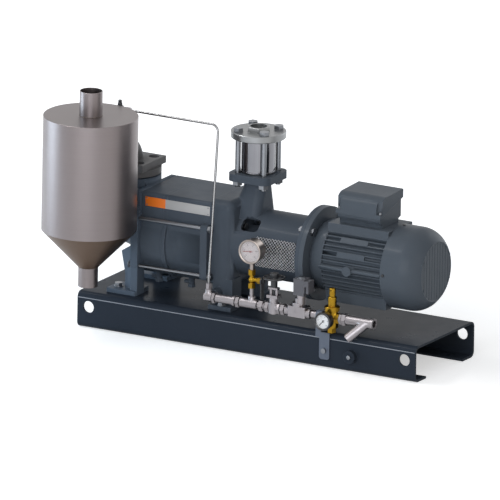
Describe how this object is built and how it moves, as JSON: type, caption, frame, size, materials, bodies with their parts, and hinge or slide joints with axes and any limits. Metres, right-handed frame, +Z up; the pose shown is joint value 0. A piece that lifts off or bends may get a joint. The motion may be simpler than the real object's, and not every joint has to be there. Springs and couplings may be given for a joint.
{
  "type": "liquid ring vacuum pump package",
  "caption": "Liquid ring vacuum pump with flange motor on a folded base, separator tank, non-return valve and a service liquid line with gauges and valves.",
  "frame": {"origin": "middle of the package's footprint on the floor", "axes": "+X along the shaft from the separator tank to the motor, -Y is the front with the service line, +Z up"},
  "size_m": [1.067, 0.515, 0.67],
  "materials": {
    "base_paint": "satin paint, dark blue-black",
    "pump_paint": "satin paint, graphite",
    "motor_paint": "satin paint, graphite",
    "cover_paint": "satin paint, blue-gray",
    "stainless": "satin stainless sheet",
    "polished_tube": "polished stainless",
    "flange_steel": "turned stainless",
    "zinc": "zinc plated",
    "line_steel": "stainless pipe fittings, dull",
    "brass": "satin brass",
    "black_steel": "black enamel",
    "gauge_steel": "stainless case, white dial",
    "gauge_black": "black case, white dial",
    "pointer_black": "matt black",
    "coil_plastic": "dark moulded plastic",
    "fan_plastic": "moulded plastic",
    "gasket": "fibre gasket",
    "spider_rubber": "elastic spider",
    "seal_face": "seal ring",
    "cast_inner": "machined casting",
    "shaft_steel": "ground steel",
    "bearing_steel": "ground bearing steel",
    "core_steel": "lamination stack with windings"
  },
  "bodies": {
    "frame": {"base_frame": "base_paint", "base_bolts": "zinc", "line_bracket": "black_steel", "discharge_cover": "cover_paint", "bearing_cap": "cover_paint", "second_stage_casing": "pump_paint", "center_plate": "pump_paint", "first_stage_casing": "pump_paint", "suction_housing": "pump_paint", "tie_rods": "zinc", "ball_bearings": "bearing_steel", "shaft_seal": "seal_face", "coupling_guards": "black_steel", "motor_flange": "motor_paint", "stator_housing": "motor_paint", "stator_core": "core_steel", "rear_end_shield": "motor_paint", "fan_cowl": "motor_paint", "terminal_box": "motor_paint", "terminal_box_lid": "motor_paint", "flange_bolts": "zinc", "valve_tube": "polished_tube", "valve_flange": "flange_steel", "valve_rods": "zinc", "valve_cage": "stainless", "flange_gaskets": "gasket", "discharge_flange": "cover_paint", "discharge_elbow": "cover_paint", "discharge_bolts": "zinc", "separator_shell": "stainless", "separator_cone": "stainless", "balance_tube": "line_steel", "tube_fittings": "line_steel", "line_fittings": "line_steel", "gauge_cock": "brass", "gauge_case": "gauge_steel", "stop_valve_body": "line_steel", "solenoid_body": "line_steel", "solenoid_coil": "coil_plastic", "regulator_body": "brass", "regulator_gauge": "gauge_black", "strainer_body": "line_steel", "strainer_cap": "line_steel", "strainer_screen": "stainless"},
    "rotor": {"pump_shaft": "shaft_steel", "first_impeller": "cast_inner", "second_impeller": "cast_inner", "pump_coupling_half": "cast_inner", "coupling_spider": "spider_rubber", "motor_coupling_half": "cast_inner", "motor_rotor": "shaft_steel", "cooling_fan": "fan_plastic"},
    "check_disc": {"valve_disc": "stainless"},
    "stop_handwheel": {"handwheel": "black_steel"},
    "stop_plug": {"stop_valve_plug": "brass"},
    "line_needle": {"gauge_pointer": "pointer_black"},
    "regulator_needle": {"regulator_pointer": "pointer_black"},
    "adjusting_screw": {"regulator_screw": "brass"},
    "solenoid_core": {"solenoid_plunger": "shaft_steel"},
    "lever": {"cock_lever": "black_steel"}
  },
  "joints": [
    {"name": "rotor_spin", "type": "hinge", "parent": "frame", "child": "rotor", "pos_m": [-0.0585, 0.1005, 0.262], "axis": [1, 0, 0], "continuous": true},
    {"name": "check_disc_drop", "type": "slide", "parent": "frame", "child": "check_disc", "axis": [0, 0, -1], "range_m": [0, 0.012], "stiffness_N_per_m": 400, "springref_m": -0.01},
    {"name": "handwheel_turn", "type": "hinge", "parent": "frame", "child": "stop_handwheel", "pos_m": [0.1025, -0.0485, 0.22], "axis": [0, 0, 1], "range_deg": [0, 1080]},
    {"name": "plug_lift", "type": "slide", "parent": "frame", "child": "stop_plug", "axis": [0, 0, 1], "range_m": [0, 0.009]},
    {"name": "lever_turn", "type": "hinge", "parent": "frame", "child": "lever", "pos_m": [0.0655, -0.0485, 0.205], "axis": [-1, 0, 0], "range_deg": [0, 90]},
    {"name": "line_needle_turn", "type": "hinge", "parent": "frame", "child": "line_needle", "pos_m": [0.0355, -0.0635, 0.283], "axis": [0, 1, 0], "range_deg": [0, 270], "stiffness_Nm_per_rad": 0.002},
    {"name": "regulator_needle_turn", "type": "hinge", "parent": "frame", "child": "regulator_needle", "pos_m": [0.2775, -0.1005, 0.139], "axis": [0, 1, 0], "range_deg": [0, 270], "stiffness_Nm_per_rad": 0.002},
    {"name": "adjusting_screw_turn", "type": "hinge", "parent": "frame", "child": "adjusting_screw", "pos_m": [0.2775, -0.0485, 0.205], "axis": [0, 0, 1], "range_deg": [0, 1080]},
    {"name": "solenoid_core_lift", "type": "slide", "parent": "frame", "child": "solenoid_core", "axis": [0, 0, 1], "range_m": [0, 0.005], "stiffness_N_per_m": 200, "springref_m": -0.004}
  ],
  "couplings": [
    {"joint": "plug_lift", "follows": "handwheel_turn", "m_per_rad": 0.000477}
  ]
}
